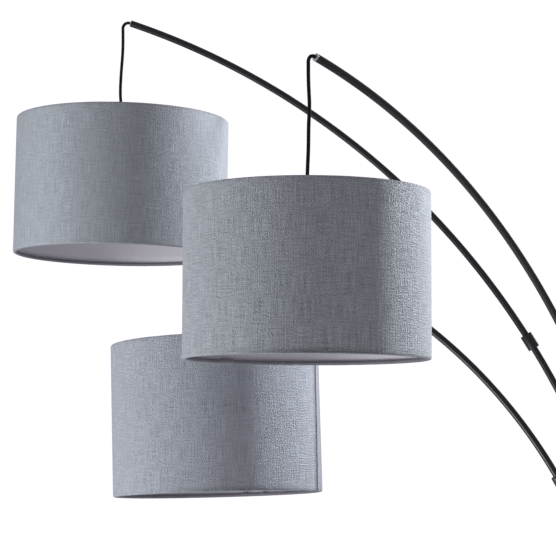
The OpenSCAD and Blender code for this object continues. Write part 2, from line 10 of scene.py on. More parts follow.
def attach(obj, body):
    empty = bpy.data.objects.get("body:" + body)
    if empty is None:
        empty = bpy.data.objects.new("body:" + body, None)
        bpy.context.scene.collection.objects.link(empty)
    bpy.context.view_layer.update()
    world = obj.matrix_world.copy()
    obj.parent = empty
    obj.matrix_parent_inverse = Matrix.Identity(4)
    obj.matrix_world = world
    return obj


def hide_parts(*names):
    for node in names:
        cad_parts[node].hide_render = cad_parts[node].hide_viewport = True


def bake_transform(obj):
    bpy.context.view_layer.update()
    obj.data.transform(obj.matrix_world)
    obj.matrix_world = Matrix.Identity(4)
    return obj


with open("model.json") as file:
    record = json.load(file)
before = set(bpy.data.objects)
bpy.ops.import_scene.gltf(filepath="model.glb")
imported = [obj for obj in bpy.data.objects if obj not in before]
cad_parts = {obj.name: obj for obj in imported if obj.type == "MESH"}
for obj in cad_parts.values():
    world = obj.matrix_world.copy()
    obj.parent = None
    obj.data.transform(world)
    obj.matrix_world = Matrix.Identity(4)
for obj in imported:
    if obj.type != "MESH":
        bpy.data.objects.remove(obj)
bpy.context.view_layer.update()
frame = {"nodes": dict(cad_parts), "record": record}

scene = bpy.context.scene
MM = 0.001
# The arms with their cords and shades: back, front and middle
SHADES = (0, 1, 2)
ARM_BODY = ("back_arm", "front_arm", "middle_arm")
SHADE_BODY = ("back_shade", "front_shade", "middle_shade")

# Sizes of the arms, as in the CAD source, in millimetres and degrees
SOCKET_REACH = 24
SOCKET_AZIMUTH = (60, -60, 180)
ARM_AZIMUTH = (174.6, 222.8, 189.8)
ARM_RADIUS = (1148, 916, 731)
ARM_SWEEP = (70.2, 74.1, 78.4)
ARM_RISE = (38, 65, 65)
HUB_TOP = 740
SPIGOT_Z, BUSH_TOP = 706, 741.5
ARM_D, ARM_WALL = 10, 1
THRUST_D, THRUST_H = 15, 6
COLLAR_D, COLLAR_H = 17.5, 23.5
JOINT_ANGLE = (31.2, 30, 29.8)
GROMMET_H = 1.2
FACE_GAP = 0.1
# Sizes of the cords and of the grips that they enter
CORD_D = 4.6
CORD_LEAD = 1.2
CORD_DROP = (136.5, 152.5, 146.5)
GRIP_TOP = 4
GRIP_DEPTH = 6
GRIP_END_ROOM = 0.3
GRIP_LEAD = 5
# Sizes and places of the shades
SHADE_D = (318, 295, 287)
SHADE_H = (203.5, 199, 207.5)
SHADE_LEAN = (0.9, 0.2, -1.6)
SHADE_TILT = (0.2, 0, 2.9)
SHADE_SHIFT = (1.4, -1.8, 1.7)
CLOTH_WALL, LINER_WALL, SNUG, WIRE_D = 0.8, 1, 0.05, 3.2
# Each cord's points after its straight start, outwards and up from the grommet's face
BEND_POINTS = (
    ((4.1, 0.9), (7.1, 0.2), (9.6, -1.6), (11.2, -4.1), (11.8, -7.1)),
    ((4, 0.6), (6.8, -0.1), (9.2, -1.9), (10.8, -4.4), (11.4, -7.4)),
    ((4, 0.4), (6.7, -0.4), (9.1, -2.2), (10.6, -4.7), (11.1, -7.5)),
)
# Its points below the bend, towards +X and up from the point on which the shade swings
DROP_POINTS = (
    ((0, 0), (0.2, -12), (0.2, -24), (-0.1, -35), (-0.7, -46), (-1.5, -57), (-2.2, -68), (-2.8, -80),
     (-3.1, -91), (-3, -102), (-2.1, -112), (-0.6, -121)),
    ((0, 0), (0, -12), (0.2, -24), (0.7, -36), (1.2, -48), (1, -60), (0.4, -72), (0.1, -84),
     (0, -96), (-0.3, -108), (-0.8, -120), (-1.3, -132)),
    ((0, 0), (-0.2, -12), (-0.4, -24), (-0.5, -36), (-0.3, -48), (0, -60), (0.2, -72), (0.3, -84),
     (0.4, -96), (0.6, -108), (0.9, -120), (1.2, -131)),
)


def cos(degrees):
    return math.cos(math.radians(degrees))


def sin(degrees):
    return math.sin(math.radians(degrees))


def arm_point(i, out, up):
    """A place in an arm's plane, given outwards from its socket and up, in metres."""
    x = SOCKET_REACH * cos(SOCKET_AZIMUTH[i]) + out * cos(ARM_AZIMUTH[i])
    y = SOCKET_REACH * sin(SOCKET_AZIMUTH[i]) + out * sin(ARM_AZIMUTH[i])
    return Vector((x, y, up)) * MM


def arc_point(i, angle):
    """A place on the middle line of an arm's arc, in metres."""
    r = ARM_RADIUS[i]
    return arm_point(i, r - r * cos(angle), HUB_TOP + ARM_RISE[i] + r * sin(angle))


def face_angle(i):
    """The angle of the arc at which the grommet's outer face lies."""
    return ARM_SWEEP[i] + math.degrees(GROMMET_H / ARM_RADIUS[i])


def cord_start(i, out=0.0, up=0.0):
    """A place outwards and up from the centre of the grommet's face, in metres."""
    r, a = ARM_RADIUS[i], face_angle(i)
    return arm_point(i, r * (1 - cos(a)) + out, HUB_TOP + ARM_RISE[i] + r * sin(a) + up)


def pivot(i):
    """The point on which the shade swings, just under the cord's bend."""
    return cord_start(i, *BEND_POINTS[i][-1]) - Vector((0, 0, CORD_D / 2 + FACE_GAP)) * MM


def cord_route(i):
    """The points that the cord follows from the grommet's face into the cord grip."""
    a = face_angle(i)
    bend = [cord_start(i), cord_start(i, CORD_LEAD * sin(a), CORD_LEAD * cos(a))]
    bend += [cord_start(i, *p) for p in BEND_POINTS[i]]
    into_grip = [(SHADE_SHIFT[i], z - CORD_DROP[i]) for z in (GRIP_LEAD, GRIP_END_ROOM - GRIP_DEPTH)]
    return bend + [pivot(i) + Vector((x, 0, z)) * MM for x, z in (*DROP_POINTS[i], *into_grip)]


def shade_frame(i):
    """The shade's own frame, with its origin at the middle of the top rim."""
    turn = (Matrix.Rotation(math.radians(SHADE_LEAN[i]), 4, "Y")
            @ Matrix.Rotation(math.radians(-SHADE_TILT[i]), 4, "X"))
    return (Matrix.Translation(pivot(i) + Vector((SHADE_SHIFT[i], 0, -CORD_DROP[i])) * MM) @ turn
            @ Matrix.Translation((0, 0, -GRIP_TOP * MM)))


# Camera
FOCAL_PX, FRAME_PX, SENSOR = 1860, 556, 36
CAMERA_PLACE, CAMERA_RISE = (-0.5216, -2.6795, 1.215), 5.28
camera_data = bpy.data.cameras.new("camera")
camera_data.sensor_width = SENSOR
camera_data.lens = SENSOR * FOCAL_PX / FRAME_PX
camera_data.clip_end = 60
camera = bpy.data.objects.new("camera", camera_data)
camera.location = CAMERA_PLACE
camera.rotation_euler = (math.radians(90 + CAMERA_RISE), 0, 0)
scene.collection.objects.link(camera)
scene.camera = camera

# Mesh helpers
# Edges that turn by more than this many degrees stay sharp on pipes and turned parts
SHARP = 50
# Steps of each rounded corner
CORNER_STEPS = 5
# How far the last column of a seamed surface is moved on towards the seam, as a share of a column
SEAM_COLUMN = 0.85


def piece(name, verts, faces, mat, uvs=None, smooth=True):
    """A mesh object from points in metres. uvs holds one pair of numbers for each corner."""
    mesh = bpy.data.meshes.new(name)
    mesh.from_pydata([tuple(v) for v in verts], [], faces)
    if uvs is not None:
        layer = mesh.uv_layers.new(name="cloth")
        layer.data.foreach_set("uv", np.asarray(uvs, np.float32).ravel())
    mesh.polygons.foreach_set("use_smooth", [smooth] * len(mesh.polygons))
    mesh.validate()
    mesh.update()
    ob = bpy.data.objects.new(name, mesh)
    scene.collection.objects.link(ob)
    ob.data.materials.append(mat)
    return ob


def spline(points, step):
    """Points about a step apart on a smooth curve through the given ones."""
    p = [Vector(q) for q in points]
    p = [2 * p[0] - p[1], *p, 2 * p[-1] - p[-2]]
    out = []
    for a, b, c, d in zip(p, p[1:], p[2:], p[3:]):
        count = max(2, math.ceil((c - b).length / step))
        for k in range(count):
            t = k / count
            out.append(0.5 * (2 * b + (c - a) * t + (2 * a - 5 * b + 4 * c - d) * t**2
                              + (3 * b - a - 3 * c + d) * t**3))
    out.append(p[-2])
    return out


def rings_along(path, side, radii, sides):
    """Rings of points square to a path, one of each radius at each of its points."""
    last = len(path) - 1
    verts = []
    for k, at in enumerate(path):
        tangent = (path[min(k + 1, last)] - path[max(k - 1, 0)]).normalized()
        side = (side - tangent * side.dot(tangent)).normalized()
        up = tangent.cross(side)
        for r in radii:
            for j in range(sides):
                a = 2 * math.pi * j / sides
                verts.append(at + (side * math.cos(a) + up * math.sin(a)) * r)
    return verts


def rod(name, path, radius, sides, mat):
    """A round solid rod along a path."""
    n = len(path)
    side = (path[1] - path[0]).normalized().orthogonal().normalized()
    faces = [(k * sides + j, k * sides + (j + 1) % sides, (k + 1) * sides + (j + 1) % sides,
              (k + 1) * sides + j) for k in range(n - 1) for j in range(sides)]
    faces += [tuple(reversed(range(sides))), tuple(range((n - 1) * sides, n * sides))]
    return piece(name, rings_along(path, side, (radius,), sides), faces, mat)


def pipe(name, path, outer, inner, sides, mat):
    """An open round tube of the given outer and inner radius along a path, with flat ends."""
    n = len(path)
    side = Vector((0, 0, 1)).cross(path[-1] - path[0]).normalized()
    ring = 2 * sides
    end = (n - 1) * ring
    faces = []
    for j in range(sides):
        j2 = (j + 1) % sides
        for k in range(n - 1):
            a, b = k * ring, (k + 1) * ring
            faces.append((a + j, a + j2, b + j2, b + j))
            faces.append((a + sides + j2, a + sides + j, b + sides + j, b + sides + j2))
        faces.append((j2, j, sides + j, sides + j2))
        faces.append((end + j, end + j2, end + sides + j2, end + sides + j))
    ob = piece(name, rings_along(path, side, (outer, inner), sides), faces, mat)
    ob.data.set_sharp_from_angle(angle=math.radians(SHARP))
    return ob


def revolve(name, profile, turns, place, mat, wobble=None, seam=None, twist=0.0):
    """Turns a closed profile of (radius, height) in metres about Z.

    wobble(angle, radius, height) gives the shift of a point. With a seam, in degrees from +X, the
    columns start there. twist is their slant in radians for each metre of height. UVs are metres
    round the outside and metres along the profile."""
    n = len(profile)
    arc = [0.0]
    for a, b in zip(profile, profile[1:] + profile[:1]):
        arc.append(arc[-1] + math.dist(a, b))
    big = max(r for r, _ in profile)
    start, late = (0.0, 0.0) if seam is None else (math.radians(seam), SEAM_COLUMN)
    verts = []
    for j in range(turns):
        a = start + 2 * math.pi * (j + (late if j == turns - 1 else 0)) / turns
        for r, z in profile:
            dr, dz = wobble(a, r, z) if wobble else (0.0, 0.0)
            b = a + twist * z
            verts.append(place @ Vector(((r + dr) * math.cos(b), (r + dr) * math.sin(b), z + dz)))
    faces, uvs = [], []
    for j in range(turns):
        j2 = (j + 1) % turns
        u0, u1 = 2 * math.pi * big * j / turns, 2 * math.pi * big * (j + 1) / turns
        for k in range(n):
            k2 = (k + 1) % n
            faces.append((j * n + k, j2 * n + k, j2 * n + k2, j * n + k2))
            uvs += [(u0, arc[k]), (u1, arc[k]), (u1, arc[k + 1]), (u0, arc[k + 1])]
    return piece(name, verts, faces, mat, uvs)


def rounded(points, radii):
    """A closed profile with its corners rounded. Lengths in millimetres, result in metres."""
    out = []
    n = len(points)
    for k in range(n):
        p, a, b = Vector(points[k]), Vector(points[k - 1]), Vector(points[(k + 1) % n])
        if radii[k] == 0:
            out.append(tuple(p * MM))
            continue
        u, v = (a - p), (b - p)
        reach = min(radii[k], 0.9 * u.length, 0.9 * v.length)
        u, v = u.normalized() * reach, v.normalized() * reach
        for s in range(CORNER_STEPS + 1):
            t = s / CORNER_STEPS
            q = (1 - t) ** 2 * (p + u) + 2 * (1 - t) * t * p + t**2 * (p + v)
            out.append(tuple(q * MM))
    return out


# Material helpers

def material(name, colour, rough, metallic=0.0):
    """A new Principled material, its node tree and its shader."""
    m = bpy.data.materials.new(name)
    m.use_nodes = True
    tree = m.node_tree
    shader = next(n for n in tree.nodes if n.type == "BSDF_PRINCIPLED")
    shader.inputs["Base Color"].default_value = (*colour, 1)
    shader.inputs["Roughness"].default_value = rough
    shader.inputs["Metallic"].default_value = metallic
    return m, tree, shader


def node(tree, kind, inputs=(), **props):
    """Adds a node, sets its properties, and sets or links its inputs."""
    n = tree.nodes.new(kind)
    for key, value in props.items():
        setattr(n, key, value)
    for key, value in dict(inputs).items():
        if isinstance(value, bpy.types.NodeSocket):
            tree.links.new(value, n.inputs[key])
        else:
            n.inputs[key].default_value = value
    return n


def maths(tree, operation, *values):
    """The result of a Math node on two or three numbers or sockets."""
    return node(tree, "ShaderNodeMath", enumerate(values), operation=operation).outputs[0]


def total(tree, *terms):
    """The sum of sockets, each times its weight."""
    out = None
    for socket, weight in terms:
        scaled = maths(tree, "MULTIPLY", socket, weight)
        out = scaled if out is None else maths(tree, "ADD", out, scaled)
    return out


def stretched_noise(tree, place, scale, detail=2.0, rough=0.5):
    """Noise of about -1 to 1 on a place times scale, one number or one for each axis."""
    if not isinstance(scale, tuple):
        scale = (scale,) * 3
    mapping = node(tree, "ShaderNodeMapping", {"Vector": place, "Scale": scale})
    n = node(tree, "ShaderNodeTexNoise", {"Vector": mapping.outputs[0], "Scale": 1.0,
                                          "Detail": detail, "Roughness": rough})
    return maths(tree, "MULTIPLY_ADD", n.outputs["Fac"], 2.0, -1.0)


def tinted(tree, shader, base, amount, shade):
    """Base colour times 1 + amount * shade."""
    factor = maths(tree, "MULTIPLY_ADD", shade, amount, 1.0)
    colour = node(tree, "ShaderNodeVectorMath", {0: base, "Scale": factor}, operation="SCALE")
    tree.links.new(colour.outputs[0], shader.inputs["Base Color"])


def roughened(tree, shader, rough, amount, shade):
    """Roughness plus amount * shade."""
    tree.links.new(maths(tree, "MULTIPLY_ADD", shade, amount, rough), shader.inputs["Roughness"])


def bumped(tree, shader, height, distance):
    """Relief of the given height in metres."""
    bump = node(tree, "ShaderNodeBump", {"Height": height, "Distance": distance, "Strength": 1.0})
    tree.links.new(bump.outputs["Normal"], shader.inputs["Normal"])


def object_place(tree):
    return node(tree, "ShaderNodeTexCoord").outputs["Object"]


def cloth_place(tree):
    return node(tree, "ShaderNodeUVMap", uv_map="cloth").outputs["UV"]


# Materials. Noise scales are per metre, and bump heights are metres.

def paint(name, colour, rough, specular=0.5):
    """Smooth paint with slight changes of gloss and tone."""
    m, tree, shader = material(name, colour, rough)
    place = object_place(tree)
    peel = stretched_noise(tree, place, 70, detail=1.0)
    broad = stretched_noise(tree, place, 30, detail=3.0, rough=0.6)
    roughened(tree, shader, rough, 0.04, broad)
    tinted(tree, shader, colour, 0.2, broad)
    bumped(tree, shader, peel, 0.00001)
    shader.inputs["Specular IOR Level"].default_value = specular
    return m


def metal(name, colour, rough):
    """Bare metal with fine drawn lines along one axis."""
    m, tree, shader = material(name, colour, rough, metallic=1.0)
    place = object_place(tree)
    drawn = stretched_noise(tree, place, (9000, 9000, 60))
    broad = stretched_noise(tree, place, 120, detail=3.0)
    roughened(tree, shader, rough, 0.1, drawn)
    tinted(tree, shader, colour, 0.12, broad)
    bumped(tree, shader, drawn, 0.00001)
    return m


def plastic(name, colour, rough):
    """Moulded plastic with a fine spark-eroded grain."""
    m, tree, shader = material(name, colour, rough)
    place = object_place(tree)
    grain = stretched_noise(tree, place, 2500, detail=1.0)
    broad = stretched_noise(tree, place, 90, detail=3.0)
    roughened(tree, shader, rough, 0.05, broad)
    tinted(tree, shader, colour, 0.1, broad)
    bumped(tree, shader, grain, 0.000015)
    return m


def cord_material():
    """Dull black sheath, slightly dusty, with faint lengthwise unevenness."""
    colour, rough = (0.009, 0.009, 0.0105), 0.75
    m, tree, shader = material("cord_sheath", colour, rough)
    place = object_place(tree)
    long_lines = stretched_noise(tree, place, (700, 700, 60))
    broad = stretched_noise(tree, place, 160, detail=3.0)
    roughened(tree, shader, rough, 0.05, broad)
    tinted(tree, shader, colour, 0.3, broad)
    bumped(tree, shader, long_lines, 0.000003)
    shader.inputs["Specular IOR Level"].default_value = 0.12
    return m


def threads(tree, place):
    """Relief of the upright and the level yarns, and of their thick places."""
    scales = ((760, 32, 1), (40, 780, 1), (760, 520, 1))
    return [stretched_noise(tree, place, scale, detail=1.0, rough=0.6) for scale in scales]


def cloth_material(name, colour, contrast=1.0, relief=0.00055):
    """Slub weave of silky grey yarn, darkened by the painted shade that the mesh attribute
    painted_shade holds.
    """
    m, tree, shader = material(name, colour, 0.7, metallic=0.5)
    place = cloth_place(tree)
    warp, weft, slub = threads(tree, place)
    broad = stretched_noise(tree, place, (30, 12, 1), detail=3.0, rough=0.6)
    tone = total(tree, (warp, 0.38), (weft, 0.28), (slub, 0.44), (broad, 0.06))
    painted_shade = node(tree, "ShaderNodeAttribute", attribute_name="painted_shade").outputs["Fac"]
    tone = maths(tree, "SUBTRACT", maths(tree, "MULTIPLY", tone, contrast), painted_shade)
    tinted(tree, shader, colour, 1.0, tone)
    bumped(tree, shader, total(tree, (slub, 1.0), (warp, 0.5), (weft, 0.45)), relief)
    return m


def liner_material():
    """Matt white laminate, faintly lilac, with the cloth's threads just showing through."""
    colour = (0.57, 0.555, 0.605)
    m, tree, shader = material("shade_liner", colour, 0.5)
    warp, weft, slub = threads(tree, cloth_place(tree))
    tinted(tree, shader, colour, 1.0, total(tree, (warp, 0.04), (slub, 0.02)))
    bumped(tree, shader, maths(tree, "ADD", warp, weft), 0.00002)
    return m


def felt_material():
    """Dark felt with loose fibres."""
    colour = (0.035, 0.035, 0.038)
    m, tree, shader = material("base_felt", colour, 0.95)
    fibres = stretched_noise(tree, object_place(tree), 900, detail=4.0, rough=0.7)
    tinted(tree, shader, colour, 0.5, fibres)
    bumped(tree, shader, fibres, 0.0004)
    return m


def iron_material():
    """Sand-cast iron."""
    colour = (0.09, 0.088, 0.085)
    m, tree, shader = material("cast_iron", colour, 0.7, metallic=0.6)
    grain = stretched_noise(tree, object_place(tree), 350, detail=5.0, rough=0.65)
    tinted(tree, shader, colour, 0.35, grain)
    bumped(tree, shader, grain, 0.0005)
    return m


def glass_material():
    """Frosted bulb glass: white inner coating under a clear gloss."""
    colour, rough = (0.86, 0.86, 0.84), 0.28
    m, tree, shader = material("bulb_frost", colour, rough)
    broad = stretched_noise(tree, object_place(tree), 70, detail=3.0)
    tinted(tree, shader, colour, 0.03, broad)
    roughened(tree, shader, rough, 0.05, broad)
    shader.inputs["Transmission Weight"].default_value = 0.25
    shader.inputs["Coat Weight"].default_value = 0.5
    shader.inputs["Coat Roughness"].default_value = 0.05
    return m


def clear_material():
    """Milky clear plastic of the tube plugs."""
    colour, rough = (0.62, 0.64, 0.62), 0.3
    m, tree, shader = material("plug_plastic", colour, rough)
    broad = stretched_noise(tree, object_place(tree), 500)
    tinted(tree, shader, colour, 0.08, broad)
    roughened(tree, shader, rough, 0.06, broad)
    shader.inputs["Transmission Weight"].default_value = 0.3
    return m


BLACK = paint("black_satin", (0.004, 0.004, 0.0052), 0.3)
GLOSS = paint("black_gloss", (0.009, 0.007, 0.008), 0.3)
STEEL = metal("zinc_steel", (0.55, 0.55, 0.56), 0.34)
FRAME_WIRE = paint("frame_wire", (0.50, 0.50, 0.52), 0.45)
HOLDER = plastic("holder_black", (0.014, 0.014, 0.015), 0.48)
NYLON = plastic("nylon_white", (0.72, 0.71, 0.67), 0.5)
TERMINAL = plastic("terminal_cream", (0.66, 0.62, 0.52), 0.45)
# One cloth on all three shades; their base colours differ a little as painted light and shade, for how
# the light falls on each
CLOTH = [
    cloth_material("shade_cloth_1", (0.318, 0.342, 0.375), contrast=0.9, relief=0.00028),
    cloth_material("shade_cloth_2", (0.347, 0.372, 0.406), contrast=1.2, relief=0.00075),
    cloth_material("shade_cloth_3", (0.362, 0.385, 0.43), contrast=0.95, relief=0.00085),
]
# The turned-in hem is the same cloth in a darker colour: painted shade inside the rims
SHADED_HEM = cloth_material("shaded_hem", (0.21, 0.21, 0.235))
LINER = liner_material()
CORD = cord_material()
FELT = felt_material()
IRON = iron_material()
GLASS = glass_material()
CLEAR = clear_material()

# Cords, in metres
CORD_STEP, CORD_SIDES = 0.0015, 20
# One rod for each cord along its route from the grommet into the cord grip, in place of the CAD's bend
# and drop
for i in SHADES:
    path = spline(cord_route(i), CORD_STEP)
    cord = rod(f"cord_{i + 1}", path, CORD_D / 2 * MM, CORD_SIDES, CORD)
    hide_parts(f"cord_bend_{i + 1}", f"cord_drop_{i + 1}")
    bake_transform(cord)

# Shades
COVER_TURNS, LINING_TURNS = 720, 480
# The cloth's hem wraps each rim wire from below, round its inner side, to this angle over its top
HEM_END = 55
# How far the wall's corners at its upper and its lower rim are rounded, in millimetres
TOP_ROUND, LOW_ROUND = 1.8, 2.8
# Where the seam of the cloth and that of the lining lie on each shade, in degrees from +X
SEAM = (62, 127, -15.6)
LINER_SEAM = (40, 136.5, 171)
# The seam's step, the width over which it fades, that of its edge, and its fade at the rims
STEP_H, OVERLAP, EDGE_W, SEAM_FADE = 1.1 * MM, 14 * MM, 0.25 * MM, 1.5 * MM
# The lining's step as a share of the cloth's, where it fades at the rims, and its waviness
LINER_STEP, LINER_FADE, LINER_WAVE = 0.3, 12 * MM, 0.1 * MM
# Painted shade: how much darker the cloth is painted before its seam, as the lap's shadow, and at its
# rims, where shade falls, and over what width in metres
SEAM_SHADE, SEAM_SHADE_W = 0.55, 0.013
TOP_SHADE, TOP_SHADE_W = 0.13, 0.0045
LOW_SHADE, LOW_SHADE_W = (0.12, 0.6, 0.5), 0.0085
# Where the painted shade on the lower edge is darkest, in degrees from +X, and how that falls off on
# both sides
LOW_SHADE_AT, LOW_SHADE_LEAST, LOW_SHADE_POWER = (-80, -84, -70), 0.1, 4
# How far each cloth is pulled askew, in radians for each metre of height
SLANT = (0, 0, 0.3)
# Where the lower hem is folded double, from and to, in degrees from +X
TABS = ((), ((129, 136.5),), ((65.5, 68), (77.5, 80.5)))
# How far a folded hem stands up and inwards, and over how many degrees it ends
TAB_H, TAB_IN, TAB_END = 1.3 * MM, 0.5 * MM, 0.35
# Slow and fine waves of the rims in height, in millimetres, and the zone in which they fade
RIM_WAVE, RIM_FINE, RIM_ZONE = 0.10, 0.09, 7 * MM
# How far the cloth draws in at the rims, and swells on the wall
DRAW_IN, SWELL = 0.12 * MM, 0.12 * MM
# Noise frequencies of the slow and the fine waves, of the wall's swells and of the lining's waves
SLOW_F, FINE_F, SWELL_F, LINER_F = 9, 45, (2.2, 9), (2.5, 10)
# How near to the wall's outside a point moves with it, and is darkened with it, in millimetres
WALL_MOVED, WALL_DARK = 0.3, 0.5
# How far outside the rim wire's middle the hem still folds, and how far inside it the hem counts as
# turned in, in millimetres
WIRE_ROOM = 0.5
# How far the hem's inner edge wanders, and over how many millimetres from it
LIP_WAVE, LIP_W = 0.25 * MM, 1.6


def seam_lift(angle, radius, seam):
    """Height of the edge where the cloth laps over itself: a quick step that fades over the lap."""
    along = ((angle - math.radians(seam) + math.pi) % (2 * math.pi) - math.pi) * radius
    if along < -EDGE_W or along > OVERLAP:
        return 0.0
    if along < 0:
        return STEP_H * (1 + along / EDGE_W)
    return STEP_H * (1 - (along / OVERLAP) ** 2)


def tab(angle, ranges):
    """1 inside the ranges of degrees, falling to 0 just outside them."""
    a = math.degrees(angle) % 360
    inside = (1 - max(low - a, a - high) / TAB_END for low, high in ranges)
    return max((min(1.0, max(0.0, share)) for share in inside), default=0.0)


def ring_noise(angle, frequency, offset, height):
    """Smooth noise of about -1 to 1 that closes on itself round a ring."""
    c, s = math.cos(angle) * frequency, math.sin(angle) * frequency
    return noise.noise(Vector((c + offset, s, height)))


def shade_cover(i):
    """The cloth of a shade: its wall and the hems that wrap the rim wires."""
    R, H = SHADE_D[i] / 2, SHADE_H[i]
    cloth_in = R - CLOTH_WALL
    wire_r = cloth_in - LINER_WALL - 2 * SNUG - WIRE_D / 2
    bead = WIRE_D / 2 + SNUG + CLOTH_WALL
    lip_in = wire_r - bead
    wall_z = (*np.linspace(4 - H, 10 - H, 4), *np.linspace(20 - H, -20, 8), -8, -5)
    wall = [(R, z) for z in wall_z]
    inside_hem = [(wire_r + (bead - CLOTH_WALL) * cos(t), bead - H + (bead - CLOTH_WALL) * sin(t))
                  for t in np.linspace(270, HEM_END, 12)]
    outside_hem = [(wire_r + bead * cos(t), bead - H + bead * sin(t))
                   for t in np.linspace(HEM_END, 270, 16)]
    lower = [(cloth_in, CLOTH_WALL - H), *inside_hem, *outside_hem, (R, -H)]
    upper = [(r, -H - z) for r, z in reversed(lower)]
    rounds = [0] * len(wall) + [TOP_ROUND] + [0] * (len(upper) + len(lower) - 2) + [LOW_ROUND]
    profile = rounded(wall + upper + lower, rounds)

    def shift(a, r, z):
        top = z > -H / 2 * MM
        to_rim = min(abs(z), abs(z + H * MM))
        edge = max(0.0, 1 - to_rim / RIM_ZONE)
        wave = ring_noise(a, SLOW_F, 5 * i, 2.0 if top else 7.0)
        fine = ring_noise(a, FINE_F, 5 * i, 3.0 if top else 9.0)
        dz = edge * (RIM_WAVE * wave + RIM_FINE * fine) * MM
        dr = 0.0
        if r > (R - WALL_MOVED) * MM:
            dr += seam_lift(a, R * MM, SEAM[i]) * min(1.0, to_rim / SEAM_FADE)
            dr -= DRAW_IN * edge * (0.5 + 0.5 * fine)
            dr += SWELL * ring_noise(a, SWELL_F[0], 9 * i, z * SWELL_F[1])
        if r < (lip_in + LIP_W) * MM:
            dr -= LIP_WAVE * (0.5 + 0.5 * wave) * max(0.0, 1 - (r / MM - lip_in) / LIP_W)
        if not top and r < (wire_r + WIRE_ROOM) * MM:
            fold = tab(a, TABS[i]) * (z + H * MM) / (2 * bead * MM)
            dz += TAB_H * fold
            dr -= TAB_IN * fold
        return dr, dz

    cloth = revolve(f"shade_cover_{i + 1}", profile, COVER_TURNS, shade_frame(i), CLOTH[i],
                    wobble=shift, seam=SEAM[i], twist=SLANT[i])
    # The turned-in faces take the darker copy of the cloth, as painted shade
    cloth.data.materials.append(SHADED_HEM)
    count = len(profile)
    turned_in = {k for k in range(count)
                 if max(profile[k][0], profile[(k + 1) % count][0]) < (wire_r - WIRE_ROOM) * MM}
    for face, polygon in enumerate(cloth.data.polygons):
        polygon.material_index = int(face % count in turned_in)
    # Painted shade: darker cloth beside the seam and along both rims, the lower rim most where it
    # faces the front
    painted_shade = []
    for j in range(COVER_TURNS):
        before_seam = (COVER_TURNS - j) / COVER_TURNS * 2 * math.pi * R * MM
        by_seam = SEAM_SHADE * max(0.0, 1 - before_seam / SEAM_SHADE_W) if j else 0.0
        facing = cos(SEAM[i] + 360 * j / COVER_TURNS - LOW_SHADE_AT[i])
        front = max(LOW_SHADE_LEAST, facing) ** LOW_SHADE_POWER
        for r, z in profile:
            by_rim = (TOP_SHADE * max(0.0, 1 + z / TOP_SHADE_W)
                      + LOW_SHADE[i] * front * max(0.0, 1 - (z + H * MM) / LOW_SHADE_W))
            painted_shade.append(min(1.0, by_seam + by_rim) if r > (R - WALL_DARK) * MM else 0.0)
    cloth.data.attributes.new("painted_shade", "FLOAT", "POINT").data.foreach_set("value", painted_shade)
    return cloth


def shade_lining(i):
    """The stiff lining of a shade, with the lap of its own seam inside."""
    H = SHADE_H[i]
    outer_r = (SHADE_D[i] / 2 - CLOTH_WALL - SNUG) * MM
    inner_r = outer_r - LINER_WALL * MM
    top = -(CLOTH_WALL + SNUG) * MM
    inside = [(inner_r, z) for z in np.linspace(top, -top - H * MM, 14)]
    outside = [(outer_r, z) for z in np.linspace(-top - H * MM, top, 4)]

    def shift(a, r, z):
        if r > inner_r:
            return 0.0, 0.0
        free = min(1.0, min(abs(z), abs(z + H * MM)) / LINER_FADE)
        step = -LINER_STEP * seam_lift(a, inner_r, LINER_SEAM[i]) * free
        wave = ring_noise(a, LINER_F[0], 7 * i, z * LINER_F[1])
        return step + LINER_WAVE * free * wave, 0.0

    return revolve(f"shade_lining_{i + 1}", inside + outside, LINING_TURNS, shade_frame(i), LINER,
                   wobble=shift, seam=LINER_SEAM[i])


for i in SHADES:
    cloth = shade_cover(i)
    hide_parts(f"shade_cloth_{i + 1}")
    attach(cloth, SHADE_BODY[i])
    liner = shade_lining(i)
    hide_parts(f"shade_liner_{i + 1}")
    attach(liner, SHADE_BODY[i])

